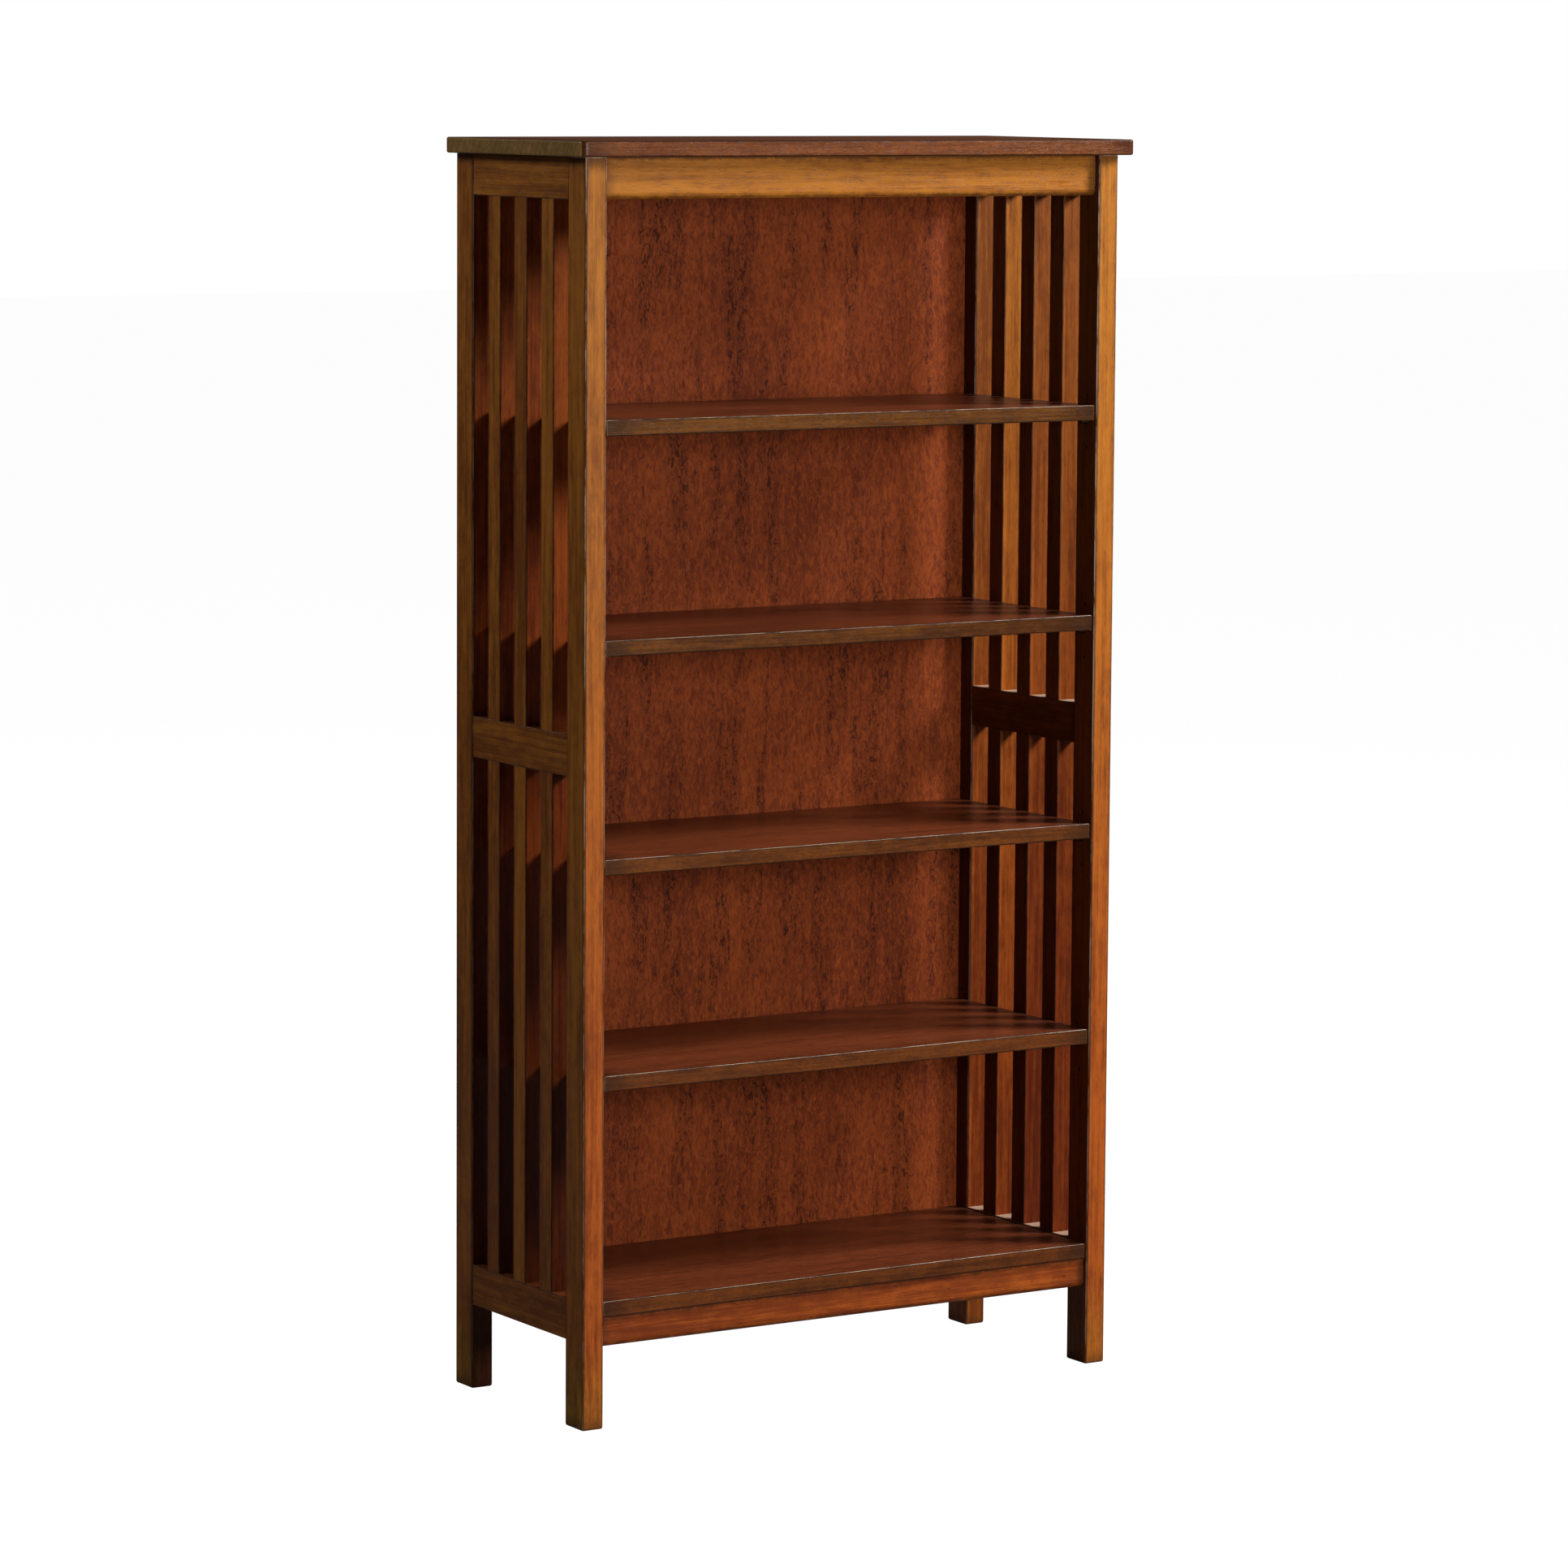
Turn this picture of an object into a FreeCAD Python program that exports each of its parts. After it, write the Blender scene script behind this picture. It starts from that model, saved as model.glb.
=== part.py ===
"""Mission-style bookcase with adjustable shelves, as loose boards and fasteners.

Frame: millimetres, +Z up, +X to the right, -Y to the front. The origin is on the
floor, under the middle of the top board. Every board is its own solid and its own
STEP file; fasteners and shelf pins that repeat share one file as a group.
"""

import FreeCAD, Part
import os
from FreeCAD import Vector

# Overall size
HEIGHT = 1524.0
FRAME_WIDTH = 755.0
FRAME_DEPTH = 310.0

# Top board and how far it stands out past the posts
TOP_THICK = 19.0
TOP_SIDE_OVERHANG = 14.0
TOP_FRONT_OVERHANG = 16.0
TOP_BACK_OVERHANG = 4.0
TOP_CORNER_RADIUS = 8.0
TOP_EDGE_RADIUS = 2.5

# Posts
POST_WIDTH = 29.0
POST_DEPTH = 42.0
POST_ARRIS = 3.0
FOOT_ROUND = 2.8

# Side frames: rails and slats
SIDE_RAIL_HEIGHT = 50.0
SIDE_RAIL_THICK = 27.0
MID_RAIL_BOTTOM = 777.5
BOTTOM_RAIL_BOTTOM = 104.0
SLATS_PER_PANEL = 3
SLAT_WIDTH = 28.5
SLAT_THICK = 26.0
BOARD_ARRIS = 1.2

# Front and back rails
FRONT_RAIL_THICK = 19.0
FRONT_TOP_RAIL_HEIGHT = 49.5
FRONT_RAIL_NOSE = 8.0
FRONT_TOP_SETBACK = 8.8
FRONT_BOTTOM_RAIL_BOTTOM = 97.0
FRONT_BOTTOM_SETBACK = 6.7
BACK_RAIL_THICK = 19.0

# Back panel, let into a groove in each back post
PANEL_THICK = 5.0
PANEL_FRONT_FROM_BACK = 17.4
PANEL_BOTTOM = 99.0
PANEL_GROOVE_DEPTH = 8.0
PANEL_SIDE_PLAY = 1.0

# Shelves
SHELF_THICK = 19.0
SHELF_SETBACK = 2.1
SHELF_END_GAP = 1.0
BOTTOM_SHELF_END_GAP = 0.5
SHELF_BACK_GAP = 2.0
SHELF_ARRIS = 1.5
SHELF_TOPS = (1199.0, 940.0, 681.0, 423.5)
BOTTOM_SHELF_TOP = 153.0

# Shelf pins and the rows of holes that they move between
PIN_RADIUS = 2.5
PIN_AXIS_BELOW_SHELF = 1.9
PIN_PLAY = 0.05
PIN_IN_POST = 9.0
PIN_UNDER_SHELF = 8.0
PIN_COLLAR_RADIUS = 4.0
PIN_COLLAR_THICK = 0.8
PIN_HOLE_DEPTH = 10.0
PIN_HOLE_PITCH = 32.0
PIN_HOLES_EACH_WAY = 1

# Joinery
TENON_LENGTH = 16.0
TENON_THICK = 9.0
TENON_SHOULDER = 7.0
SLAT_TENON_LENGTH = 14.0
SLAT_TENON_SHOULDER = 5.0
JOINT_PLAY = 0.1
DOWEL_RADIUS = 4.0
DOWEL_IN_POST = 9.0
DOWEL_IN_RAIL = 21.0
DOWEL_PLAY = 0.05

# Screws
SCREW_RADIUS = 2.0
SCREW_HEAD_RADIUS = 3.8
SCREW_HEAD_THICK = 2.4
SCREW_HEAD_ROUND = 0.8
SCREW_PLAY = 0.1
SCREW_IN_BOARD = 11.0
SCREW_GRIP = 18.0
PANEL_SCREW_RADIUS = 1.5
PANEL_SCREW_HEAD_RADIUS = 3.6
PANEL_SCREW_HEAD_THICK = 1.6
PANEL_SCREW_HEAD_ROUND = 1.1
PANEL_SCREW_IN_RAIL = 13.0
PANEL_SCREW_INSET = 60.0
PANEL_SCREWS_PER_RAIL = 5
PANEL_HOLE_PLAY = 0.1
UPWARD_SCREW_INSET = 90.0

# Places worked out from the sizes above
TOP_WIDTH = FRAME_WIDTH + 2 * TOP_SIDE_OVERHANG
TOP_DEPTH = FRAME_DEPTH + TOP_FRONT_OVERHANG + TOP_BACK_OVERHANG
FRONT = -TOP_DEPTH / 2 + TOP_FRONT_OVERHANG
BACK = FRONT + FRAME_DEPTH
TOP_UNDERSIDE = HEIGHT - TOP_THICK
POST_OUTER = FRAME_WIDTH / 2
POST_INNER = POST_OUTER - POST_WIDTH
POST_MID = POST_OUTER - POST_WIDTH / 2
SIDE_FRONT = FRONT + POST_DEPTH
SIDE_BACK = BACK - POST_DEPTH
PANEL_FRONT = BACK - PANEL_FRONT_FROM_BACK
PANEL_BACK = PANEL_FRONT + PANEL_THICK
BACK_RAIL_FRONT = PANEL_FRONT - BACK_RAIL_THICK
BOTTOM_SHELF_UNDERSIDE = BOTTOM_SHELF_TOP - SHELF_THICK
FRONT_TOP_RAIL_BOTTOM = TOP_UNDERSIDE - FRONT_TOP_RAIL_HEIGHT

SIDES = {"left": -1, "right": 1}
SIDE_RAILS = {
    "top": TOP_UNDERSIDE - SIDE_RAIL_HEIGHT,
    "mid": MID_RAIL_BOTTOM,
    "bottom": BOTTOM_RAIL_BOTTOM,
}
SLAT_SPANS = {
    "upper": (MID_RAIL_BOTTOM + SIDE_RAIL_HEIGHT, TOP_UNDERSIDE - SIDE_RAIL_HEIGHT),
    "lower": (BOTTOM_RAIL_BOTTOM + SIDE_RAIL_HEIGHT, MID_RAIL_BOTTOM),
}
# name: (bottom, top, front face, back face)
CROSS_RAILS = {
    "front_top_rail": (
        FRONT_TOP_RAIL_BOTTOM,
        TOP_UNDERSIDE,
        FRONT + FRONT_TOP_SETBACK,
        FRONT + FRONT_TOP_SETBACK + FRONT_RAIL_THICK,
    ),
    "front_bottom_rail": (
        FRONT_BOTTOM_RAIL_BOTTOM,
        BOTTOM_SHELF_UNDERSIDE,
        FRONT + FRONT_BOTTOM_SETBACK,
        FRONT + FRONT_BOTTOM_SETBACK + FRONT_RAIL_THICK,
    ),
    "back_top_rail": (FRONT_TOP_RAIL_BOTTOM, TOP_UNDERSIDE, BACK_RAIL_FRONT, PANEL_FRONT),
    "back_bottom_rail": (
        FRONT_BOTTOM_RAIL_BOTTOM,
        BOTTOM_SHELF_UNDERSIDE,
        BACK_RAIL_FRONT,
        PANEL_FRONT,
    ),
}

# How far a cut starts outside its face, and how near two places count as one
OVERRUN = 1.0
NEARLY_ZERO = 1e-6

X_AXIS = Vector(1, 0, 0)
Y_AXIS = Vector(0, 1, 0)
Z_AXIS = Vector(0, 0, 1)


def block(x_range, y_range, z_range):
    """A box between two values on each axis, given in either order."""
    lows = [min(r) for r in (x_range, y_range, z_range)]
    sizes = [abs(r[1] - r[0]) for r in (x_range, y_range, z_range)]
    return Part.makeBox(*sizes, Vector(*lows))


def rod(start, direction, length, radius):
    return Part.makeCylinder(radius, length, start, direction)


def edges_along(shape, axis):
    """The straight edges of shape that run along axis."""
    found = []
    for edge in shape.Edges:
        ends = [vertex.Point for vertex in edge.Vertexes]
        if len(ends) == 2 and (ends[1] - ends[0]).normalize().cross(axis).Length < NEARLY_ZERO:
            found.append(edge)
    return found


def eased(shape, axis, radius):
    """shape with its long edges along axis rounded over."""
    return shape.makeFillet(radius, edges_along(shape, axis))


def cut_all(shape, tools):
    return shape.cut(Part.Compound(tools)) if tools else shape


def joined(shapes):
    return shapes[0].fuse(shapes[1:]).removeSplitter()


def grown(low_high, play):
    return (min(low_high) - play, max(low_high) + play)


# Top board


def top_screw_places():
    """Centres of the screws that hold the top board: (rail, x, y)."""
    places = []
    for name in ("front_top_rail", "back_top_rail"):
        _, _, front, back = CROSS_RAILS[name]
        for side in SIDES.values():
            places.append((name, side * (POST_INNER - UPWARD_SCREW_INSET), (front + back) / 2))
        places.append((name, 0.0, (front + back) / 2))
    return places


def upward_screw(x, y, head_z, tip_z):
    """A pan-head screw driven upwards."""
    head = rod(Vector(x, y, head_z), Z_AXIS, SCREW_HEAD_THICK, SCREW_HEAD_RADIUS)
    shank = rod(Vector(x, y, head_z), Z_AXIS, tip_z - head_z, SCREW_RADIUS)
    return joined([head.makeFillet(SCREW_HEAD_ROUND, [head.Edges[2]]), shank])


def shank_hole(x, y, from_z, tip_z):
    length = tip_z + SCREW_PLAY - from_z
    return rod(Vector(x, y, from_z), Z_AXIS, length, SCREW_RADIUS + SCREW_PLAY)


def head_well(x, y, from_z, head_z):
    """The counterbore that an upward screw's head sits in."""
    length = head_z + SCREW_HEAD_THICK - from_z
    return rod(Vector(x, y, from_z), Z_AXIS, length, SCREW_HEAD_RADIUS + SCREW_PLAY)


def top_screw_z():
    """Head height and tip height of the top board's screws."""
    return TOP_UNDERSIDE - SCREW_GRIP, TOP_UNDERSIDE + SCREW_IN_BOARD


def top_board():
    board = block(
        (-TOP_WIDTH / 2, TOP_WIDTH / 2), (-TOP_DEPTH / 2, TOP_DEPTH / 2), (TOP_UNDERSIDE, HEIGHT)
    )
    board = eased(board, Z_AXIS, TOP_CORNER_RADIUS)
    rims = [e for e in board.Edges if e.BoundBox.ZMax - e.BoundBox.ZMin < NEARLY_ZERO]
    board = board.makeFillet(TOP_EDGE_RADIUS, rims)
    _, tip_z = top_screw_z()
    start_z = TOP_UNDERSIDE - OVERRUN
    return cut_all(board, [shank_hole(x, y, start_z, tip_z) for _, x, y in top_screw_places()])


# Side frames


def tenon_spans(bottom):
    """The height and thickness spans of a side rail's tenon."""
    z_span = (bottom + TENON_SHOULDER, bottom + SIDE_RAIL_HEIGHT - TENON_SHOULDER)
    x_span = (POST_MID - TENON_THICK / 2, POST_MID + TENON_THICK / 2)
    return x_span, z_span


def side_span(side, span):
    return (side * span[0], side * span[1])


def slat_centres():
    gap = (SIDE_BACK - SIDE_FRONT - SLATS_PER_PANEL * SLAT_WIDTH) / (SLATS_PER_PANEL + 1)
    return [
        SIDE_FRONT + (i + 1) * gap + (i + 0.5) * SLAT_WIDTH for i in range(SLATS_PER_PANEL)
    ]


def slat_tenon(side, centre, z_span, play):
    x_span = (POST_MID - TENON_THICK / 2, POST_MID + TENON_THICK / 2)
    half = SLAT_WIDTH / 2 - SLAT_TENON_SHOULDER
    return block(
        grown(side_span(side, x_span), play), (centre - half - play, centre + half + play), z_span
    )


def slat_sockets(side, name, bottom):
    """Mortises in a side rail for the slats above it and below it."""
    deep = SLAT_TENON_LENGTH + OVERRUN
    top = bottom + SIDE_RAIL_HEIGHT
    sockets = []
    for centre in slat_centres():
        if name != "bottom":
            sockets.append(slat_tenon(side, centre, (bottom - OVERRUN, bottom + deep), JOINT_PLAY))
        if name != "top":
            sockets.append(slat_tenon(side, centre, (top - deep, top + OVERRUN), JOINT_PLAY))
    return sockets


def side_rail(side, name):
    bottom = SIDE_RAILS[name]
    x_span = (POST_MID - SIDE_RAIL_THICK / 2, POST_MID + SIDE_RAIL_THICK / 2)
    rail = block(
        side_span(side, x_span), (SIDE_FRONT, SIDE_BACK), (bottom, bottom + SIDE_RAIL_HEIGHT)
    )
    rail = eased(rail, Y_AXIS, BOARD_ARRIS)
    tenon_x, tenon_z = tenon_spans(bottom)
    tenon = block(
        side_span(side, tenon_x), (SIDE_FRONT - TENON_LENGTH, SIDE_BACK + TENON_LENGTH), tenon_z
    )
    return cut_all(joined([rail, tenon]), slat_sockets(side, name, bottom))


def slat(side, span, index):
    bottom, top = SLAT_SPANS[span]
    centre = slat_centres()[index]
    body = block(
        side_span(side, (POST_MID - SLAT_THICK / 2, POST_MID + SLAT_THICK / 2)),
        (centre - SLAT_WIDTH / 2, centre + SLAT_WIDTH / 2),
        (bottom, top),
    )
    body = eased(body, Z_AXIS, BOARD_ARRIS)
    z_span = (bottom - SLAT_TENON_LENGTH, top + SLAT_TENON_LENGTH)
    return joined([body, slat_tenon(side, centre, z_span, 0)])


# Posts


def pin_column_ys():
    """Where the front and the back column of shelf pins stand."""
    return (FRONT + POST_DEPTH / 2, BACK - POST_DEPTH / 2 - PIN_COLLAR_RADIUS)


def pin_heights():
    """Axis heights of the holes in one column, a short row about each shelf."""
    steps = range(-PIN_HOLES_EACH_WAY, PIN_HOLES_EACH_WAY + 1)
    rests = [top - SHELF_THICK - PIN_AXIS_BELOW_SHELF for top in SHELF_TOPS]
    return [rest + n * PIN_HOLE_PITCH for rest in rests for n in steps]


def pin_holes(side, y):
    holes = []
    for z in pin_heights():
        start = Vector(side * (POST_INNER - OVERRUN), y, z)
        length = PIN_HOLE_DEPTH + OVERRUN
        holes.append(rod(start, X_AXIS * side, length, PIN_RADIUS + PIN_PLAY))
    return holes


def rail_mortises(side, depth):
    """Mortises in a post for the three side rails, at one end of the side frame."""
    inward = depth == "back"
    face = SIDE_BACK if inward else SIDE_FRONT
    reach = TENON_LENGTH + OVERRUN
    y_span = (face - OVERRUN, face + reach) if inward else (face - reach, face + OVERRUN)
    mortises = []
    for bottom in SIDE_RAILS.values():
        x_span, z_span = tenon_spans(bottom)
        mortises.append(
            block(
                grown(side_span(side, x_span), JOINT_PLAY), y_span, grown(z_span, JOINT_PLAY)
            )
        )
    return mortises


def dowel_places(rail):
    """Dowel centres (y, z) at each end of a front or back rail."""
    bottom, top, front, back = CROSS_RAILS[rail]
    quarter = (top - bottom) / 4
    return [((front + back) / 2, bottom + quarter), ((front + back) / 2, top - quarter)]


def dowel(side, y, z, play):
    start = Vector(side * (POST_INNER + DOWEL_IN_POST + play), y, z)
    length = DOWEL_IN_POST + DOWEL_IN_RAIL + 2 * play
    return rod(start, X_AXIS * -side, length, DOWEL_RADIUS + play)


def dowel_sockets(side, rails):
    return [dowel(side, y, z, DOWEL_PLAY) for rail in rails for y, z in dowel_places(rail)]


def panel_groove(side):
    inner = side * (POST_INNER - OVERRUN)
    outer = side * (POST_INNER + PANEL_GROOVE_DEPTH)
    y_span = (PANEL_FRONT, PANEL_BACK + JOINT_PLAY)
    return block((inner, outer), y_span, (PANEL_BOTTOM - OVERRUN, TOP_UNDERSIDE + OVERRUN))


def post(side, depth):
    y_span = (FRONT, SIDE_FRONT) if depth == "front" else (SIDE_BACK, BACK)
    shape = block(side_span(side, (POST_INNER, POST_OUTER)), y_span, (0, TOP_UNDERSIDE))
    shape = eased(shape, Z_AXIS, POST_ARRIS)
    rim = [e for e in shape.Edges if e.BoundBox.ZMax < NEARLY_ZERO]
    shape = shape.makeFillet(FOOT_ROUND, rim)
    front_y, back_y = pin_column_ys()
    rails = [name for name in CROSS_RAILS if name.startswith(depth)]
    tools = rail_mortises(side, depth) + dowel_sockets(side, rails)
    tools += pin_holes(side, front_y if depth == "front" else back_y)
    if depth == "back":
        tools.append(panel_groove(side))
    return cut_all(shape, tools)


# Front and back rails


def bottom_screw_places():
    """Centres of the screws that hold the bottom shelf: (rail, x, y)."""
    places = []
    for name in ("front_bottom_rail", "back_bottom_rail"):
        _, _, front, back = CROSS_RAILS[name]
        for side in SIDES.values():
            places.append((name, side * (POST_INNER - UPWARD_SCREW_INSET), (front + back) / 2))
    return places


def bottom_screw_z():
    """Head height and tip height of the bottom shelf's screws."""
    return BOTTOM_SHELF_UNDERSIDE - SCREW_GRIP, BOTTOM_SHELF_UNDERSIDE + SCREW_IN_BOARD


def corner_edges(rail, y, z):
    """The edges along X that lie at one corner of a rail's section."""
    found = []
    for edge in edges_along(rail, X_AXIS):
        place = edge.Vertexes[0].Point
        if abs(place.y - y) < NEARLY_ZERO and abs(place.z - z) < NEARLY_ZERO:
            found.append(edge)
    return found


def rail_blank(name):
    """A rail with eased edges. A front rail's lower front edge is rounded well over."""
    bottom, top, front, back = CROSS_RAILS[name]
    rail = block((-POST_INNER, POST_INNER), (front, back), (bottom, top))
    nose = (front, bottom)
    if name.startswith("front"):
        rail = rail.makeFillet(FRONT_RAIL_NOSE, corner_edges(rail, *nose))
    corners = [nose, (front, top), (back, bottom), (back, top)]
    eased_edges = [edge for corner in corners for edge in corner_edges(rail, *corner)]
    return rail.makeFillet(BOARD_ARRIS, eased_edges)


def cross_rail(name):
    """A front or back rail with its dowel sockets and screw holes."""
    start_z = CROSS_RAILS[name][0] - OVERRUN
    sockets = [socket for side in SIDES.values() for socket in dowel_sockets(side, [name])]
    for places, (head_z, tip_z) in (
        (top_screw_places(), top_screw_z()),
        (bottom_screw_places(), bottom_screw_z()),
    ):
        for rail_name, x, y in places:
            if rail_name == name:
                sockets.append(head_well(x, y, start_z, head_z))
                sockets.append(shank_hole(x, y, start_z, tip_z))
    for rail_name, x, z in panel_screw_places():
        if rail_name == name:
            sockets.append(panel_screw_hole(x, z))
    return cut_all(rail_blank(name), sockets)


# Back panel


def panel_screw_places():
    """Centres of the screws through the back panel: (rail, x, z)."""
    places = []
    span = 2 * (POST_INNER - PANEL_SCREW_INSET)
    for name in ("back_top_rail", "back_bottom_rail"):
        bottom, top, _, _ = CROSS_RAILS[name]
        for i in range(PANEL_SCREWS_PER_RAIL):
            x = -span / 2 + i * span / (PANEL_SCREWS_PER_RAIL - 1)
            places.append((name, x, (bottom + top) / 2))
    return places


def panel_screw(x, z):
    """A small round-head screw driven forwards through the panel."""
    start = Vector(x, PANEL_BACK, z)
    head = rod(start, Y_AXIS, PANEL_SCREW_HEAD_THICK, PANEL_SCREW_HEAD_RADIUS)
    head = head.makeFillet(PANEL_SCREW_HEAD_ROUND, [head.Edges[0]])
    shank = rod(start, -Y_AXIS, PANEL_THICK + PANEL_SCREW_IN_RAIL, PANEL_SCREW_RADIUS)
    return joined([head, shank])


def panel_screw_hole(x, z):
    start = Vector(x, PANEL_BACK + OVERRUN, z)
    length = PANEL_THICK + PANEL_SCREW_IN_RAIL + 2 * OVERRUN
    return rod(start, -Y_AXIS, length, PANEL_SCREW_RADIUS + PANEL_HOLE_PLAY)


def back_panel():
    half = POST_INNER + PANEL_GROOVE_DEPTH - PANEL_SIDE_PLAY
    panel = block((-half, half), (PANEL_FRONT, PANEL_BACK), (PANEL_BOTTOM, TOP_UNDERSIDE))
    return cut_all(panel, [panel_screw_hole(x, z) for _, x, z in panel_screw_places()])


# Shelves


def shelf(top, end_gap):
    half = POST_INNER - end_gap
    y_span = (FRONT + SHELF_SETBACK, PANEL_FRONT - SHELF_BACK_GAP)
    board = block((-half, half), y_span, (top - SHELF_THICK, top))
    return board.makeFillet(SHELF_ARRIS, board.Edges)


def bottom_shelf():
    board = shelf(BOTTOM_SHELF_TOP, BOTTOM_SHELF_END_GAP)
    _, tip_z = bottom_screw_z()
    start_z = BOTTOM_SHELF_UNDERSIDE - OVERRUN
    return cut_all(board, [shank_hole(x, y, start_z, tip_z) for _, x, y in bottom_screw_places()])


def shelf_pin(side, y, underside):
    """A pin with a collar: its stem fills a hole and its peg carries the shelf."""
    z = underside - PIN_AXIS_BELOW_SHELF
    stem_start = Vector(side * (POST_INNER + PIN_IN_POST), y, z)
    stem = rod(stem_start, X_AXIS * -side, PIN_IN_POST + PIN_UNDER_SHELF, PIN_RADIUS)
    collar_start = Vector(side * POST_INNER, y, z)
    collar = rod(collar_start, X_AXIS * -side, PIN_COLLAR_THICK, PIN_COLLAR_RADIUS)
    above = block(
        (side * POST_INNER, side * (POST_INNER - PIN_UNDER_SHELF - OVERRUN)),
        (y - PIN_COLLAR_RADIUS, y + PIN_COLLAR_RADIUS),
        (underside, underside + PIN_COLLAR_RADIUS),
    )
    return joined([stem, collar]).cut(above)


# Groups of small pieces


def pin_group(top):
    underside = top - SHELF_THICK
    return [shelf_pin(side, y, underside) for side in SIDES.values() for y in pin_column_ys()]


def dowel_group():
    ends = [(side, place) for name in CROSS_RAILS for side in SIDES.values() for place in dowel_places(name)]
    return [dowel(side, y, z, 0) for side, (y, z) in ends]


def all_nodes():
    """Every node by name, as one solid or a list of solids."""
    nodes = {"top_board": top_board(), "back_panel": back_panel()}
    for side_name, side in SIDES.items():
        for depth in ("front", "back"):
            nodes[f"post_{depth}_{side_name}"] = post(side, depth)
        for name in SIDE_RAILS:
            nodes[f"side_{name}_rail_{side_name}"] = side_rail(side, name)
        for span in SLAT_SPANS:
            for i in range(SLATS_PER_PANEL):
                nodes[f"slat_{side_name}_{span}_{i + 1}"] = slat(side, span, i)
    for name in CROSS_RAILS:
        nodes[name] = cross_rail(name)
    for number, top in enumerate(SHELF_TOPS, start=1):
        nodes[f"shelf_{number}"] = shelf(top, SHELF_END_GAP)
        nodes[f"shelf_pins_{number}"] = pin_group(top)
    nodes["bottom_shelf"] = bottom_shelf()
    nodes["rail_dowels"] = dowel_group()
    nodes["top_screws"] = [upward_screw(x, y, *top_screw_z()) for _, x, y in top_screw_places()]
    nodes["bottom_shelf_screws"] = [
        upward_screw(x, y, *bottom_screw_z()) for _, x, y in bottom_screw_places()
    ]
    nodes["back_panel_screws"] = [panel_screw(x, z) for _, x, z in panel_screw_places()]
    return nodes


def solid_of(shape):
    """The one solid inside shape, so that each STEP file holds plain solids."""
    if len(shape.Solids) != 1 or not shape.isValid():
        raise ValueError(f"expected one valid solid, found {len(shape.Solids)}")
    return shape.Solids[0]


def main():
    os.makedirs("parts", exist_ok=True)
    for name, made in all_nodes().items():
        solids = [solid_of(s) for s in (made if isinstance(made, list) else [made])]
        shape = solids[0] if len(solids) == 1 else Part.makeCompound(solids)
        shape.exportStep(os.path.join("parts", f"{name}.step"))
        print(name, len(solids), round(shape.Volume / 1000, 1), "cm3")


main()
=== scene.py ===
"""Looks of the slat-sided bookcase: stained wood, its light and the camera.

Metres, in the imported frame: +Z up, +X right, -Y to the open front.
"""

import math
import random

import bpy
from mathutils import Matrix, Vector


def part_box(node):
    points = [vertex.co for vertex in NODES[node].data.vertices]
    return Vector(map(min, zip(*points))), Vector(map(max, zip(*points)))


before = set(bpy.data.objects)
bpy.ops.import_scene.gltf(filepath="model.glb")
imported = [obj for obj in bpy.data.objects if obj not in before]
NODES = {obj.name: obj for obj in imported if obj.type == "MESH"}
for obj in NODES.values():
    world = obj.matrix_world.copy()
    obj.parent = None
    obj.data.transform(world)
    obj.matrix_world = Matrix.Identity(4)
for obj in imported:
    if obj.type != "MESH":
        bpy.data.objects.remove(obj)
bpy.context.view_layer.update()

# Camera: in front of the bookcase and to its left, with a long lens. The sensor and the
# lens are in millimetres, and the shift is a share of the picture's side.
SENSOR = 36.0
CAMERA_PLACE = Vector((-3.8715, -6.1496, 1.6242))
CAMERA_YAW = math.radians(-32.137)
CAMERA_PITCH = math.radians(-6.073)
CAMERA_ROLL = math.radians(0.368)
CAMERA_LENS = 137.0236
CAMERA_SHIFT_Y = -0.06

# Lights: name, place, side and power in watts. Each is a square softbox aimed at AIM.
AIM = (0.0, 0.0, 0.85)
LIGHTS = (
    ("front_softbox", (0.1, -4.7, 1.45), 1.2, 148.0),
    ("right_softbox", (2.63, -1.50, 2.8), 0.95, 200.0),
    ("left_back_softbox", (-2.9, 2.2, 3.3), 1.2, 74.0),
)

# The world's strength on the object and as the camera sees it, and the floor
AMBIENT = 0.045
BACKGROUND = 1.0
FLOOR_SIDE = 60.0
FLOOR_GREY = (0.18, 0.18, 0.18, 1.0)
FLOOR_GLOW = 0.97


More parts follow.
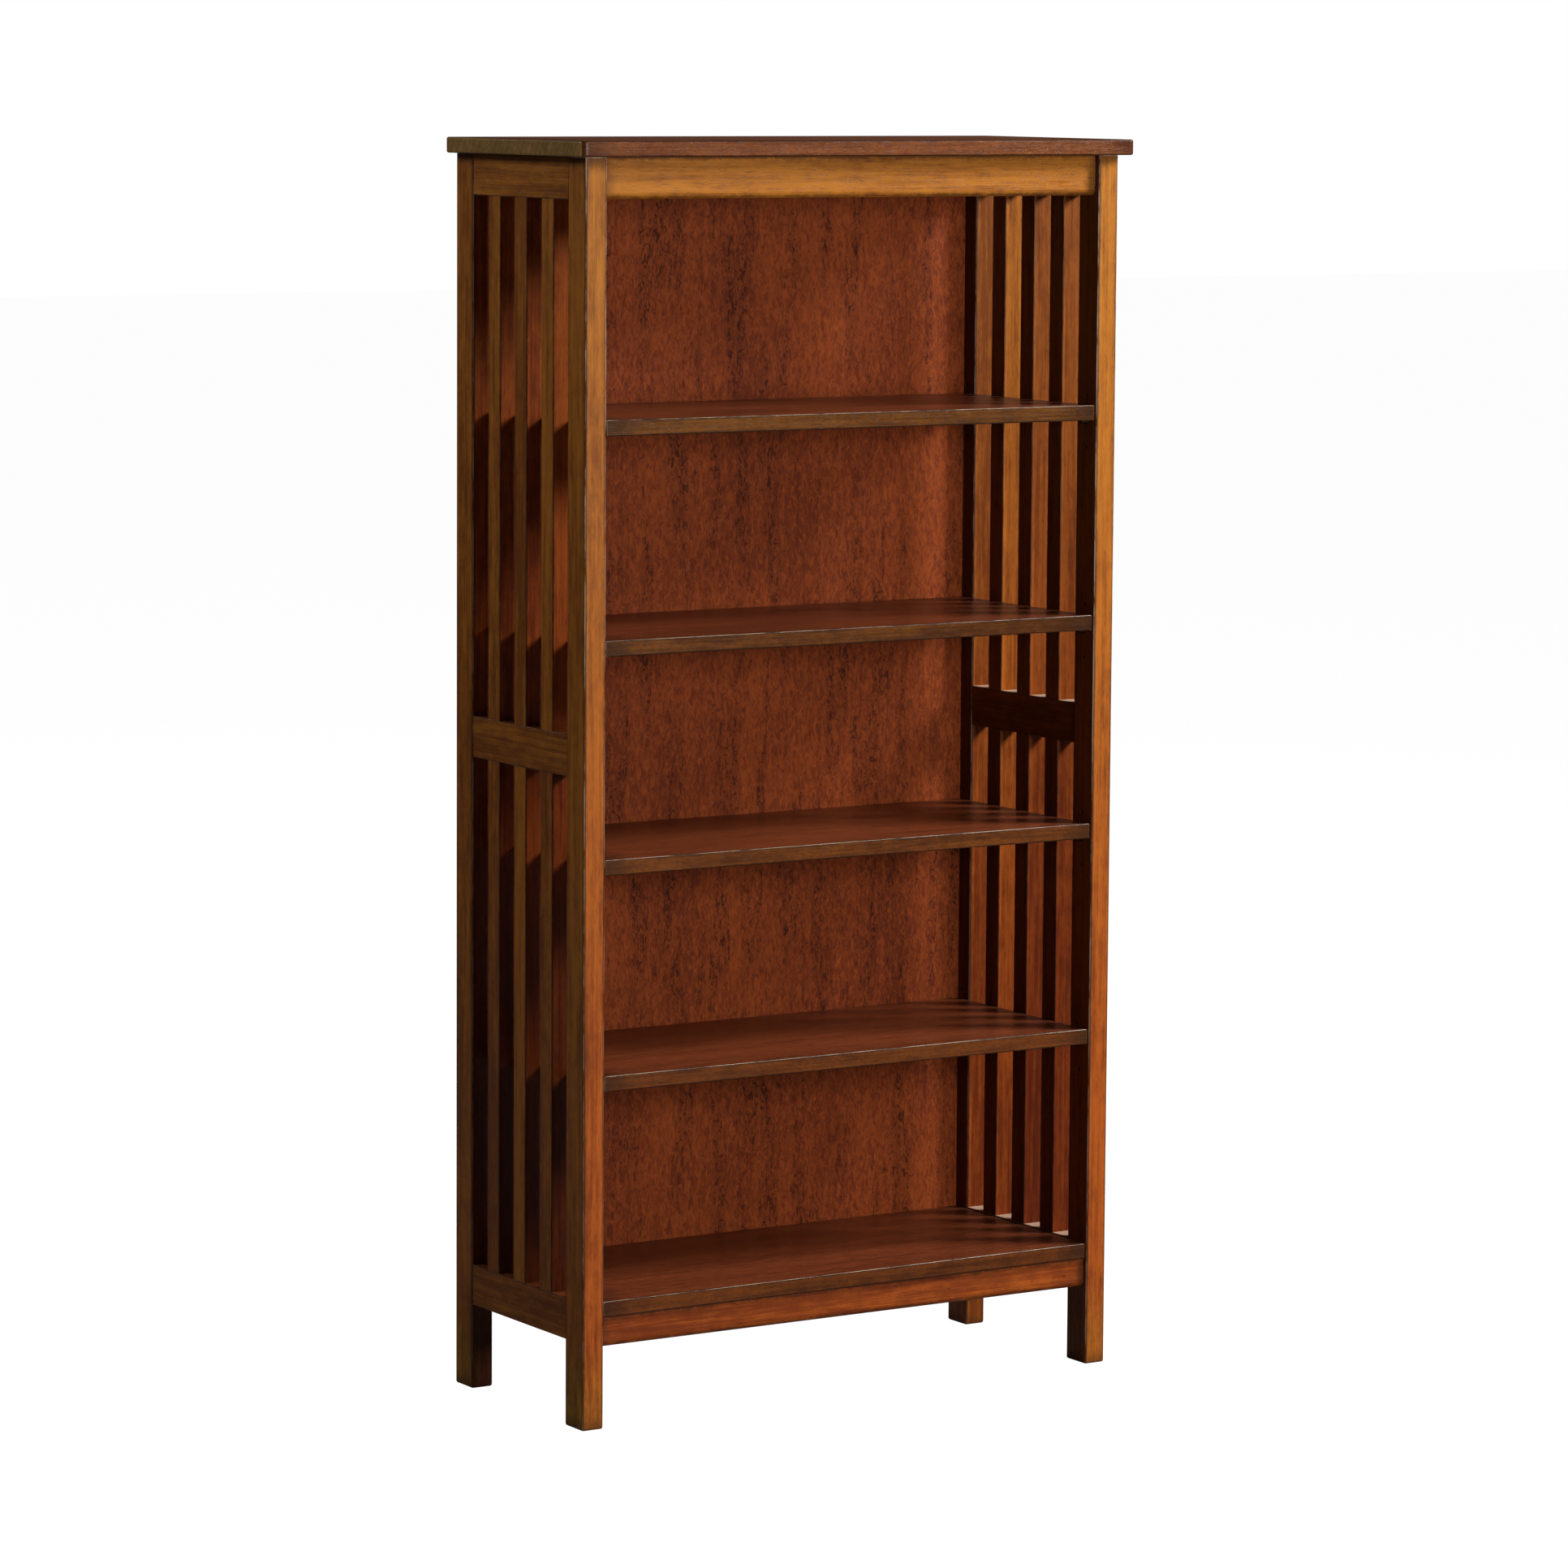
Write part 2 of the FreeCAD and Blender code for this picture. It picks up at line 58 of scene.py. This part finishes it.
class Nodes:
    """A node tree with one-line calls for the nodes that these materials use."""

    def __init__(self, tree):
        self.tree = tree

    def add(self, kind, inputs=None, **settings):
        node = self.tree.nodes.new(kind)
        for name, value in settings.items():
            setattr(node, name, value)
        for socket, value in (inputs or {}).items():
            self.put(node.inputs[socket], value)
        return node

    def put(self, socket, value):
        """Links value to socket if it is an output, and sets it there if not."""
        if isinstance(value, bpy.types.NodeSocket):
            self.tree.links.new(value, socket)
        else:
            socket.default_value = value

    def math(self, operation, a, b=0.0, c=0.0):
        return self.add("ShaderNodeMath", {0: a, 1: b, 2: c}, operation=operation).outputs[0]

    def ramp(self, value, start, end, out_start=0.0, out_end=1.0):
        """A smooth step from out_start to out_end, as value goes from start to end."""
        inputs = {0: value, 1: start, 2: end, 3: out_start, 4: out_end}
        return self.add("ShaderNodeMapRange", inputs, interpolation_type="SMOOTHSTEP").outputs[0]

    def mix(self, factor, a, b, blend="MIX"):
        """Colour b over colour a by factor. The Mix node's colour sockets are 6, 7 and 2."""
        inputs = {0: factor, 6: a, 7: b}
        node = self.add("ShaderNodeMix", data_type="RGBA", blend_type=blend)
        for socket, value in inputs.items():
            self.put(node.inputs[socket], value)
        return node.outputs[2]

    def noise(self, vector, scale, detail, rough, distortion=0.0):
        inputs = {
            "Vector": vector,
            "Scale": scale,
            "Detail": detail,
            "Roughness": rough,
            "Distortion": distortion,
        }
        return self.add("ShaderNodeTexNoise", inputs).outputs["Fac"]

    def combine(self, x, y, z):
        return self.add("ShaderNodeCombineXYZ", {0: x, 1: y, 2: z}).outputs[0]


def add_bump(nodes, shader, height, strength, distance):
    inputs = {"Height": height, "Strength": strength, "Distance": distance}
    bump = nodes.add("ShaderNodeBump", inputs)
    nodes.put(shader.inputs["Normal"], bump.outputs[0])


def new_material(name):
    material = bpy.data.materials.new(name)
    material.use_nodes = True
    tree = material.node_tree
    tree.nodes.clear()
    nodes = Nodes(tree)
    shader = nodes.add("ShaderNodeBsdfPrincipled")
    output = nodes.add("ShaderNodeOutputMaterial")
    tree.links.new(shader.outputs[0], output.inputs[0])
    return material, nodes, shader


# Wood

X, Y, Z = range(3)
AXES = {"x": (X, Y, Z), "y": (Y, X, Z), "z": (Z, X, Y)}

# Pale colour of bare wood where the stain is rubbed off, also used for painted highlights on the
# rounded edges and for painted glare on the right side rails' ledges
WORN_AND_HIGHLIGHT = (0.60, 0.44, 0.31, 1.0)

# What the colour is multiplied by: near the floor; as painted shade on the frames' outer faces
# near the floor and on their inner faces; and as painted light and shade on the front-facing
# edges of the slats and back posts
LOW_TINT = (0.97, 0.54, 0.60, 1.0)
LOW_OUTER_PAINTED_SHADE = (0.76, 1.15, 1.10, 1.0)
INNER_PAINTED_SHADE = (0.42, 0.38, 0.42, 1.0)
LEFT_EDGE_PAINTED_SHADE = (0.95, 0.63, 0.74, 1.0)
LOW_LEFT_EDGE_PAINTED_SHADE = (0.34, 0.30, 0.40, 1.0)
RIGHT_EDGE_PAINTED_SHADE = (0.86, 0.68, 0.80, 1.0)
EDGE_PAINTED_LIGHT = (1.12, 1.02, 1.0, 1.0)

# How far the low tints reach: none of them at the first height, all at the second. At
# the foot only a share of the redness is left.
LOW_HEIGHTS = (1.48, 0.25)
LOW_LEFT_EDGE_SHADE_HEIGHTS = (1.1, 0.3)
FOOT_HEIGHTS = (0.02, 0.12)
FOOT_REDNESS = 0.35
FRAME_REDNESS = 0.85
SHELF_REDNESS = 0.6

# How much of the side rails' ledges is covered by painted glare on the right and painted shade
# on the left, and how much of the boards' rounded edges is painted pale, partly as wear and
# partly
# as a painted highlight: all of this at the top, and a share near the floor
LEDGE_PAINTED_GLARE_AND_SHADE = 0.65
ARRIS_WEAR_AND_HIGHLIGHT = 0.45
FRONT_POST_WEAR_AND_HIGHLIGHT = 1.0
TOP_EDGE_WEAR_AND_HIGHLIGHT = 0.7
LOW_WEAR_AND_HIGHLIGHT = 0.3
WEAR_AND_HIGHLIGHT_HEIGHTS = (0.2, 1.3)

# Dark glaze left along the edges and at the ends: how much of it, and its reach
FRAME_GLAZE = 0.65
FRAME_GLAZE_REACH = 0.002
FRONT_RAIL_GLAZE_REACH = 0.009
FRAME_END_GLAZE_REACH = 0.02
FLAT_GLAZE = 0.8
FLAT_GLAZE_REACH = 0.0015
FLAT_END_GLAZE_REACH = 0.06

# Edge rounding of each kind of board, by the start of its nodes' names. The shelves and
# the top board change colour within FACE_TURN of their front and end faces.
ARRISES = {"post_": 0.003, "side_": 0.0012, "slat_": 0.0012, "front_": 0.0012, "back_": 0.0012}
FLAT_ARRIS = 0.0015
FACE_TURN = (0.0016, 0.0009)
TOP_EDGE_WIDTH = (0.004, 0.002)

# Figure of the wood: noise cells to a metre along the grain and across it
CLOUDS = (3.0, 22.0)
STRIPES = (5.0, 140.0)
FLAMES = (40.0, 85.0)
FIBRES = (9.0, 420.0)
PORES = (70.0, 1300.0)
SPECKS = (150.0, 380.0)
RING_SWAY = (1.8, 7.0)
VENEER_CLOUDS = (3.0, 9.0)
VENEER_MOTTLE = (85.0, 190.0)
VENEER_STREAKS = (4.5, 40.0)
VENEER_FLECKS = (95.0, 200.0)
VENEER_FIBRES = (14.0, 600.0)

# Growth rings: radians to a metre across the board, their slant through its thickness,
# how many radians they sway by, and how narrow their dark lines are
RING_RATE = 520.0
RING_SLANT = 0.55
RING_SWING = 30.0
RING_SHARPNESS = 3.0

# Marks that follow no grain: noise cells to a metre
SMUDGES = 75.0
# Breaks in the pale edge line, which is partly wear and partly a painted highlight
WEAR_AND_HIGHLIGHT_BREAKS = 18.0

# Where each noise shows: not below the first value, and fully above the second
PORE_SPAN = (0.58, 0.72)
TONE_SPAN = (0.75, 1.15)
SPECK_SPAN = (0.44, 0.66)
WEAR_AND_HIGHLIGHT_BREAK_SPAN = (0.36, 0.60)
VENEER_TONE_SPAN = (0.44, 0.86)
VENEER_STREAK_SPAN = (0.47, 0.66)
VENEER_FLECK_SPAN = (0.50, 0.64)

# How dark the shelves' specks are, the panel's streaks, and its flecks: outside a streak,
# and how much more inside one
SPECK_DEPTH = 0.35
STREAK_DEPTH = 0.20
FLECK_DEPTH = 0.12
STREAK_FLECK_DEPTH = 0.68

# Lacquer: roughness of each kind of board and what fibres and pores add to it, and how
# far the fibres stand up and the pores sink
FRAME_ROUGHNESS = 0.38
FLAT_ROUGHNESS = 0.31
VENEER_ROUGHNESS = 0.5
DOWEL_ROUGHNESS = 0.6
FIBRE_ROUGHNESS = 0.14
PORE_ROUGHNESS = 0.12
FIBRE_RELIEF = 0.5
PORE_RELIEF = -0.8
RELIEF_HEIGHT = 0.0005
RELIEF_STRENGTH = 0.3

# How far each board's figure is shifted, and how much lighter or darker it may be
FIGURE_SHIFT = 9.0
SHADE_SPREAD = 0.09


def side_of(node):
    return "left" if "left" in node else "right"


class Palette:
    """Stain colours of one kind of board: its dark glaze, its body and its lights."""

    def __init__(self, deep, mid, high):
        self.deep, self.mid, self.high = ((*c, 1.0) for c in (deep, mid, high))


OAK = Palette((0.030, 0.009, 0.003), (0.155, 0.042, 0.005), (0.355, 0.123, 0.012))
SHELF_TOP = Palette((0.030, 0.007, 0.003), (0.080, 0.017, 0.006), (0.182, 0.042, 0.014))
SHELF_EDGE = Palette((0.018, 0.008, 0.004), (0.050, 0.016, 0.003), (0.138, 0.048, 0.006))
TOP_BOARD = Palette((0.022, 0.006, 0.002), (0.110, 0.030, 0.009), (0.190, 0.060, 0.016))
TOP_ENDS = Palette((0.030, 0.016, 0.006), (0.160, 0.090, 0.025), (0.280, 0.156, 0.046))
VENEER = Palette((0.028, 0.006, 0.003), (0.108, 0.019, 0.006), (0.262, 0.053, 0.011))
BEECH = Palette((0.30, 0.18, 0.08), (0.52, 0.36, 0.20), (0.62, 0.45, 0.27))


class Board:
    """Shader fields fitted to one board: its box, its edges and its own grain."""

    def __init__(self, nodes, node, grain, seed, arris):
        self.nodes, self.arris = nodes, arris
        self.low, self.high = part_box(node)
        self.order = AXES[grain]
        place = nodes.add("ShaderNodeTexCoord").outputs["Object"]
        split = nodes.add("ShaderNodeSeparateXYZ", {0: place}).outputs
        self.parts = [split[i] for i in range(3)]
        draw = random.Random(seed)
        self.turned = [
            nodes.math("ADD", self.parts[i], draw.uniform(-FIGURE_SHIFT, FIGURE_SHIFT))
            for i in self.order
        ]
        self.shade = draw.uniform(-SHADE_SPREAD, SHADE_SPREAD)

    def noise(self, rates, detail=3.0, rough=0.55, distortion=0.0):
        """Noise with so many cells to a metre along the grain and across it."""
        nodes = self.nodes
        along, across = rates
        steps = zip(self.turned, (along, across, across))
        cells = nodes.combine(*(nodes.math("MULTIPLY", part, rate) for part, rate in steps))
        return nodes.noise(cells, 1.0, detail, rough, distortion)

    def marks(self, rate, detail, rough):
        """Noise with the same number of cells to a metre each way."""
        return self.nodes.noise(self.nodes.combine(*self.parts), rate, detail, rough)

    def away(self, axis, plane):
        """Distance from a plane across an axis."""
        return self.nodes.math("ABSOLUTE", self.nodes.math("SUBTRACT", self.parts[axis], plane))

    def gap(self, axis):
        """Distance from the nearer of the box's two faces across an axis."""
        faces = (self.low[axis], self.high[axis])
        return self.nodes.math("MINIMUM", *(self.away(axis, face) for face in faces))

    def edge(self):
        """Distance over the surface from the box's nearest edge."""
        nodes = self.nodes
        x, y, z = (self.gap(axis) for axis in range(3))
        larger = nodes.math("MAXIMUM", x, y)
        return nodes.math(
            "MAXIMUM", nodes.math("MINIMUM", x, y), nodes.math("MINIMUM", larger, z)
        )

    def end(self):
        return self.gap(self.order[0])

    def rings(self):
        """Growth rings, cut at a slant so that they run out in long points."""
        nodes = self.nodes
        sway = nodes.math("MULTIPLY", self.noise(RING_SWAY, 2.0, 0.5), RING_SWING)
        depth = nodes.math("MULTIPLY_ADD", self.turned[2], RING_SLANT, self.turned[1])
        phase = nodes.math("MULTIPLY_ADD", depth, RING_RATE, sway)
        wave = nodes.math("MULTIPLY_ADD", nodes.math("SINE", phase), 0.5, 0.5)
        return nodes.math("POWER", wave, RING_SHARPNESS)


def weighted(nodes, *fields):
    """The sum of fields, each times its weight."""
    total = 0.0
    for field, weight in fields:
        total = nodes.math("MULTIPLY_ADD", field, weight, total)
    return total


def stain(board, palette, ring=0.14, pore=0.5):
    """Grain colour of lacquered wood, and its fibre and pore fields."""
    nodes = board.nodes
    fibre = board.noise(FIBRES, 5.0, 0.6)
    pores = nodes.ramp(board.noise(PORES, 2.0, 0.5), *PORE_SPAN)
    tone = weighted(
        nodes,
        (board.noise(CLOUDS, 4.0, 0.6), 0.50),
        (board.noise(STRIPES, 4.0, 0.65), 0.55),
        (board.noise(FLAMES, 3.0, 0.65), 0.40),
        (fibre, 0.45),
    )
    tone = nodes.ramp(tone, *(edge - board.shade for edge in TONE_SPAN))
    color = nodes.mix(tone, palette.mid, palette.high)
    color = nodes.mix(nodes.math("MULTIPLY", board.rings(), ring), color, palette.deep)
    color = nodes.mix(nodes.math("MULTIPLY", pores, pore), color, palette.deep)
    return color, fibre, pores


def glazed(board, color, deep, amount, reach, end_reach):
    """Dark glaze left in an uneven line along edges, and over each end."""
    nodes, arris = board.nodes, board.arris
    smudge = board.marks(SMUDGES, 4.0, 0.75)
    line = nodes.math("MULTIPLY_ADD", smudge, 3 * reach, arris - reach)
    band = nodes.ramp(board.edge(), line, arris * 0.7)
    end_band = nodes.ramp(board.end(), nodes.math("MULTIPLY", smudge, 2 * end_reach), 0.0)
    dark = nodes.math("MAXIMUM", band, nodes.math("MULTIPLY", end_band, 0.8))
    return nodes.mix(nodes.math("MULTIPLY", dark, amount), color, deep)


def worn_and_highlit_arris(board):
    """Where the rounded edges are rubbed back, and where a painted highlight lies on them: a
    thin broken pale line on the rounding.
    """
    nodes, arris = board.nodes, board.arris
    line = nodes.ramp(board.edge(), arris * 0.52, arris * 0.33)
    return nodes.math("MULTIPLY", line, nodes.ramp(board.marks(WEAR_AND_HIGHLIGHT_BREAKS, 3.0, 0.7), *WEAR_AND_HIGHLIGHT_BREAK_SPAN))


def reddened(board, color, strength):
    """The colour grows redder and darker towards the floor, but less so at the very foot."""
    nodes = board.nodes
    low = nodes.math("MULTIPLY", nodes.ramp(board.parts[Z], *LOW_HEIGHTS), strength)
    foot = nodes.ramp(board.parts[Z], *FOOT_HEIGHTS, FOOT_REDNESS, 1.0)
    return nodes.mix(nodes.math("MULTIPLY", low, foot), color, LOW_TINT, "MULTIPLY")


def painted_shade_sides(board, node, color):
    """Painted shade: the frames' inner faces are darkened, and their outer faces are duller low
    down.
    """
    nodes = board.nodes
    planes = (board.high[X], board.low[X])
    inner, outer = planes if side_of(node) == "left" else reversed(planes)
    turn = (board.arris, board.arris * 0.3)
    inside = nodes.ramp(board.away(X, inner), *turn)
    outside = nodes.ramp(board.away(X, outer), *turn)
    color = nodes.mix(inside, color, INNER_PAINTED_SHADE, "MULTIPLY")
    low_outside = nodes.math("MULTIPLY", outside, nodes.ramp(board.parts[Z], *LOW_HEIGHTS))
    return nodes.mix(low_outside, color, LOW_OUTER_PAINTED_SHADE, "MULTIPLY")


def front_edge_painted_light_and_shade(board, node, color):
    """The front-facing side of a slat or back post: painted shade on the left, deeper low down,
    painted light on the right rear slat and back post, and painted shade on the other right
    slats.
    """
    nodes = board.nodes
    if side_of(node) == "left":
        low = nodes.ramp(board.parts[Z], *LOW_LEFT_EDGE_SHADE_HEIGHTS)
        tint = nodes.mix(low, LEFT_EDGE_PAINTED_SHADE, LOW_LEFT_EDGE_PAINTED_SHADE)
    elif node.endswith("_3") or node.startswith("post_"):
        tint = EDGE_PAINTED_LIGHT
    else:
        tint = RIGHT_EDGE_PAINTED_SHADE
    narrow = nodes.ramp(board.away(Y, board.low[Y]), board.arris * 0.8, 0.0)
    return nodes.mix(narrow, color, tint, "MULTIPLY")


def ledge_painted_glare_and_shade(board, node, color):
    """A side rail's top, between the slats: a painted glare on the right, painted shade on the
    left.
    """
    nodes = board.nodes
    ledge = nodes.ramp(board.away(Z, board.high[Z]), board.arris * 0.3, 0.0)
    tone = OAK.deep if side_of(node) == "left" else WORN_AND_HIGHLIGHT
    return nodes.mix(nodes.math("MULTIPLY", ledge, LEDGE_PAINTED_GLARE_AND_SHADE), color, tone)


def finish_wood(board, shader, color, fibre, pores, roughness, specular=0.15):
    """Lacquer over the colour: rougher on fibres and in pores, which sink into it."""
    nodes = board.nodes
    nodes.put(shader.inputs["Base Color"], color)
    smoothest = roughness - FIBRE_ROUGHNESS / 2
    rough = nodes.math("MULTIPLY_ADD", fibre, FIBRE_ROUGHNESS, smoothest)
    rough = nodes.math("MULTIPLY_ADD", pores, PORE_ROUGHNESS, rough)
    nodes.put(shader.inputs["Roughness"], rough)
    raised = nodes.math("MULTIPLY", fibre, FIBRE_RELIEF)
    relief = nodes.math("MULTIPLY_ADD", pores, PORE_RELIEF, raised)
    add_bump(nodes, shader, relief, RELIEF_STRENGTH, RELIEF_HEIGHT)
    shader.inputs["Specular IOR Level"].default_value = specular


def oak(node, grain, seed, arris):
    """A post, rail or slat."""
    material, nodes, shader = new_material(f"oak_{node}")
    board = Board(nodes, node, grain, seed, arris)
    color, fibre, pores = stain(board, OAK)
    color = reddened(board, color, FRAME_REDNESS)
    # Painted light and shade on the front-facing sides of the slats and back posts
    if node.startswith(("slat_", "post_back_")):
        color = front_edge_painted_light_and_shade(board, node, color)
    # Painted shade on the frames' inner faces, and on their outer faces near the floor
    if not node.startswith(("front_", "back_")):
        color = painted_shade_sides(board, node, color)
    # Painted glare on the right side rails' ledges and painted shade on the left ones
    if node.startswith(("side_mid_rail", "side_bottom_rail")):
        color = ledge_painted_glare_and_shade(board, node, color)
    reach = FRONT_RAIL_GLAZE_REACH if node.startswith("front_") else FRAME_GLAZE_REACH
    color = glazed(board, color, OAK.deep, FRAME_GLAZE, reach, FRAME_END_GLAZE_REACH)
    # The pale line on the rounded edges is partly wear and partly a painted highlight, strongest
    # on the front posts and near the top
    wear_and_highlight = FRONT_POST_WEAR_AND_HIGHLIGHT if node.startswith("post_front") else ARRIS_WEAR_AND_HIGHLIGHT
    wear_and_highlight = nodes.ramp(board.parts[Z], *WEAR_AND_HIGHLIGHT_HEIGHTS, LOW_WEAR_AND_HIGHLIGHT * wear_and_highlight, wear_and_highlight)
    color = nodes.mix(nodes.math("MULTIPLY", worn_and_highlit_arris(board), wear_and_highlight), color, WORN_AND_HIGHLIGHT)
    finish_wood(board, shader, color, fibre, pores, FRAME_ROUGHNESS)
    return material


def flat_board(node, seed, face, edge, ends, redness):
    """A shelf or the top board: palettes for its faces, its front edge and its two ends."""
    material, nodes, shader = new_material(f"oak_{node}")
    board = Board(nodes, node, "x", seed, FLAT_ARRIS)
    color, fibre, pores = stain(board, face, ring=0.08)
    front_color, _, _ = stain(board, edge, ring=0.2)
    end_color, _, _ = stain(board, ends, ring=0.2)
    in_front = nodes.ramp(board.away(Y, board.low[Y]), *FACE_TURN)
    color = nodes.mix(in_front, color, reddened(board, front_color, redness))
    speck = nodes.ramp(board.noise(SPECKS, 3.0, 0.7), *SPECK_SPAN)
    color = nodes.mix(nodes.math("MULTIPLY", speck, SPECK_DEPTH), color, face.deep)
    color = glazed(board, color, edge.deep, FLAT_GLAZE, FLAT_GLAZE_REACH, FLAT_END_GLAZE_REACH)
    color = nodes.mix(nodes.ramp(board.end(), *FACE_TURN), color, end_color)
    # The pale line on the top and end edges is partly wear and partly a painted highlight where
    # light falls on the upper edges
    worn_and_lit_edges = (board.away(Z, board.high[Z]), board.end())
    upper = nodes.math("MAXIMUM", *(nodes.ramp(d, *TOP_EDGE_WIDTH) for d in worn_and_lit_edges))
    line = nodes.math("MULTIPLY", worn_and_highlit_arris(board), upper)
    color = nodes.mix(nodes.math("MULTIPLY", line, TOP_EDGE_WEAR_AND_HIGHLIGHT), color, WORN_AND_HIGHLIGHT)
    finish_wood(board, shader, color, fibre, pores, FLAT_ROUGHNESS)
    return material


def veneer(node, seed):
    """The back panel: mottled veneer with short dark flecks that gather in streaks."""
    material, nodes, shader = new_material(f"veneer_{node}")
    board = Board(nodes, node, "z", seed, 0.0)
    mottle = board.noise(VENEER_MOTTLE, 4.0, 0.65, 1.0)
    tone = weighted(nodes, (mottle, 0.9), (board.noise(VENEER_CLOUDS), 0.4))
    color = nodes.mix(nodes.ramp(tone, *VENEER_TONE_SPAN), VENEER.mid, VENEER.high)
    streak = nodes.ramp(board.noise(VENEER_STREAKS, 3.0, 0.6, 0.4), *VENEER_STREAK_SPAN)
    fleck = nodes.ramp(board.noise(VENEER_FLECKS, 2.0, 0.5, 1.4), *VENEER_FLECK_SPAN)
    amount = nodes.math("MULTIPLY_ADD", streak, STREAK_FLECK_DEPTH, FLECK_DEPTH)
    color = nodes.mix(nodes.math("MULTIPLY", fleck, amount), color, VENEER.deep)
    color = nodes.mix(nodes.math("MULTIPLY", streak, STREAK_DEPTH), color, VENEER.deep)
    fibre = board.noise(VENEER_FIBRES, 4.0, 0.6)
    finish_wood(board, shader, color, fibre, fleck, VENEER_ROUGHNESS, specular=0.06)
    return material


def dowel_wood(node, seed):
    material, nodes, shader = new_material("beech_dowel")
    board = Board(nodes, node, "x", seed, 0.0)
    color, fibre, pores = stain(board, BEECH, ring=0.05, pore=0.2)
    finish_wood(board, shader, color, fibre, pores, DOWEL_ROUGHNESS)
    return material


def grain_of(node):
    """The axis that a board is longest along."""
    low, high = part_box(node)
    sizes = [h - l for l, h in zip(low, high)]
    return "xyz"[sizes.index(max(sizes))]


def dress(node, material):
    """Gives a CAD node one material in all its slots."""
    for slot in NODES[node].material_slots:
        slot.material = material


def dress_boards():
    """Dresses every wooden node, with its place in their sorted list as its grain's seed."""
    boards = [n for n in sorted(NODES) if not n.endswith("screws") and "pins" not in n]
    for seed, node in enumerate(boards):
        if node == "back_panel":
            dress(node, veneer(node, seed))
        elif node == "top_board":
            dress(node, flat_board(node, seed, TOP_BOARD, TOP_BOARD, TOP_ENDS, 0.0))
        elif node == "rail_dowels":
            dress(node, dowel_wood(node, seed))
        elif "shelf" in node:
            looks = (SHELF_TOP, SHELF_EDGE, SHELF_EDGE, SHELF_REDNESS)
            dress(node, flat_board(node, seed, *looks))
        else:
            arris = ARRISES[node[: node.index("_") + 1]]
            dress(node, oak(node, grain_of(node), seed, arris))


# Metal: noise cells to a metre, how dark and how much smoother it is where tarnished, and
# its bump
TARNISH_RATE = 420.0
TARNISH_SHADE = 0.55
TARNISH_POLISH = 0.2
METAL_RELIEF_HEIGHT = 0.0003
METAL_RELIEF_STRENGTH = 0.15


def metal(name, color, roughness):
    """Plated metal in patches that run from dark and smooth to clean and rougher."""
    material, nodes, shader = new_material(name)
    place = nodes.add("ShaderNodeTexCoord").outputs["Object"]
    clean = nodes.noise(place, TARNISH_RATE, 3.0, 0.6)
    dark = tuple(TARNISH_SHADE * c for c in color)
    nodes.put(shader.inputs["Base Color"], nodes.mix(clean, (*dark, 1.0), (*color, 1.0)))
    smoothest = roughness - TARNISH_POLISH / 2
    rough = nodes.math("MULTIPLY_ADD", clean, TARNISH_POLISH, smoothest)
    nodes.put(shader.inputs["Roughness"], rough)
    add_bump(nodes, shader, clean, METAL_RELIEF_STRENGTH, METAL_RELIEF_HEIGHT)
    shader.inputs["Metallic"].default_value = 1.0
    return material


def dress_fasteners():
    bronze = metal("bronzed_steel", (0.10, 0.065, 0.04), 0.42)
    zinc = metal("zinc_plate", (0.50, 0.47, 0.40), 0.36)
    for node in NODES:
        if node.startswith("shelf_pins"):
            dress(node, bronze)
        elif node.endswith("screws"):
            dress(node, zinc)


# Stage


def seen_by_camera(nodes):
    return nodes.add("ShaderNodeLightPath").outputs["Is Camera Ray"]


def make_floor():
    """A plain pale floor. It glows to the camera only, so that it stays pale in shade."""
    bpy.ops.mesh.primitive_plane_add(size=FLOOR_SIDE, location=(0, 0, 0))
    floor = bpy.context.object
    floor.name = "floor"
    material, nodes, shader = new_material("floor_paint")
    shader.inputs["Base Color"].default_value = FLOOR_GREY
    shader.inputs["Roughness"].default_value = 0.9
    shader.inputs["Specular IOR Level"].default_value = 0.1
    shader.inputs["Emission Color"].default_value = (1.0, 1.0, 1.0, 1.0)
    glow = nodes.math("MULTIPLY", seen_by_camera(nodes), FLOOR_GLOW)
    nodes.put(shader.inputs["Emission Strength"], glow)
    floor.data.materials.append(material)


def make_softbox(name, place, side, power):
    data = bpy.data.lights.new(name, "AREA")
    data.shape = "SQUARE"
    data.size = side
    data.energy = power
    light = bpy.data.objects.new(name, data)
    light.location = place
    aim = Vector(AIM) - Vector(place)
    light.rotation_euler = aim.to_track_quat("-Z", "Y").to_euler()
    bpy.context.scene.collection.objects.link(light)


def make_light():
    """The softboxes, and a world that is white to the camera and dim to the object."""
    for light in LIGHTS:
        make_softbox(*light)
    world = bpy.data.worlds.new("studio")
    bpy.context.scene.world = world
    world.use_nodes = True
    world.node_tree.nodes.clear()
    nodes = Nodes(world.node_tree)
    strength = nodes.ramp(seen_by_camera(nodes), 0.0, 1.0, AMBIENT, BACKGROUND)
    back = nodes.add("ShaderNodeBackground", {"Color": (1, 1, 1, 1), "Strength": strength})
    output = nodes.add("ShaderNodeOutputWorld")
    world.node_tree.links.new(back.outputs[0], output.inputs[0])


def make_camera():
    data = bpy.data.cameras.new("camera")
    data.sensor_width = SENSOR
    data.lens = CAMERA_LENS
    data.shift_y = CAMERA_SHIFT_Y
    camera = bpy.data.objects.new("camera", data)
    flat = math.cos(CAMERA_PITCH)
    aim = Vector(
        (
            -math.sin(CAMERA_YAW) * flat,
            math.cos(CAMERA_YAW) * flat,
            math.sin(CAMERA_PITCH),
        )
    )
    level = Vector((math.cos(CAMERA_YAW), math.sin(CAMERA_YAW), 0.0))
    up = level.cross(aim)
    right = math.cos(CAMERA_ROLL) * level + math.sin(CAMERA_ROLL) * up
    up = right.cross(aim)
    turn = Matrix((right, up, -aim)).transposed()
    camera.matrix_world = Matrix.Translation(CAMERA_PLACE) @ turn.to_4x4()
    bpy.context.scene.collection.objects.link(camera)
    bpy.context.scene.camera = camera


make_camera()
make_floor()
make_light()
dress_boards()
dress_fasteners()
bpy.context.scene.view_settings.view_transform = "Standard"
